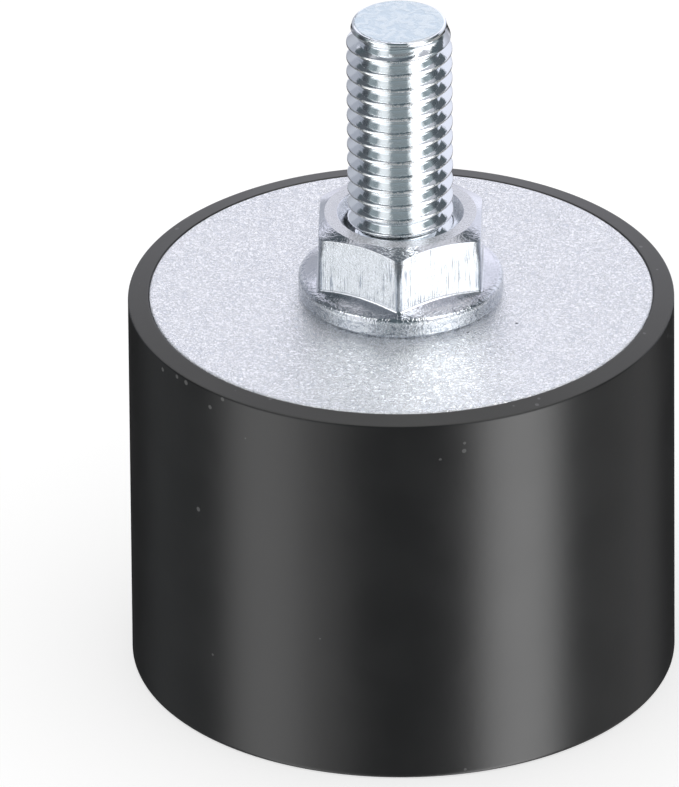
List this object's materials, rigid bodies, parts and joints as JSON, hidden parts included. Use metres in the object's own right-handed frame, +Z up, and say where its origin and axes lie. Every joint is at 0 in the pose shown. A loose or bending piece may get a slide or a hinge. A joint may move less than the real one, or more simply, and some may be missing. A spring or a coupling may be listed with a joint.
{
  "type": "bobbin vibration mount",
  "caption": "Round rubber vibration mount with bonded steel end plates, a threaded stud with flange nut on top and a tapped hole below.",
  "frame": {"origin": "middle of the flat bottom face, on the mount's axis", "axes": "+Z up along the stud's axis, -Y towards the picture's camera, +X to its right"},
  "size_m": [0.05, 0.05, 0.065],
  "materials": {
    "rubber": "charcoal moulded rubber with a soft satin sheen",
    "zinc_plate": "zinc plated sheet steel, pale and finely mottled",
    "zinc_bright": "bright zinc plated steel with a faint blue tinge"
  },
  "bodies": {
    "mount": {"rubber_body": "rubber", "upper_plate": "zinc_plate", "lower_plate": "zinc_plate", "stud": "zinc_bright", "threaded_insert": "zinc_plate"},
    "nut": {"flange_nut": "zinc_bright"}
  },
  "joints": [
    {"name": "nut_travel", "type": "slide", "parent": "mount", "child": "nut", "axis": [0, 0, 1], "range_m": [0, 0.0195]}
  ]
}
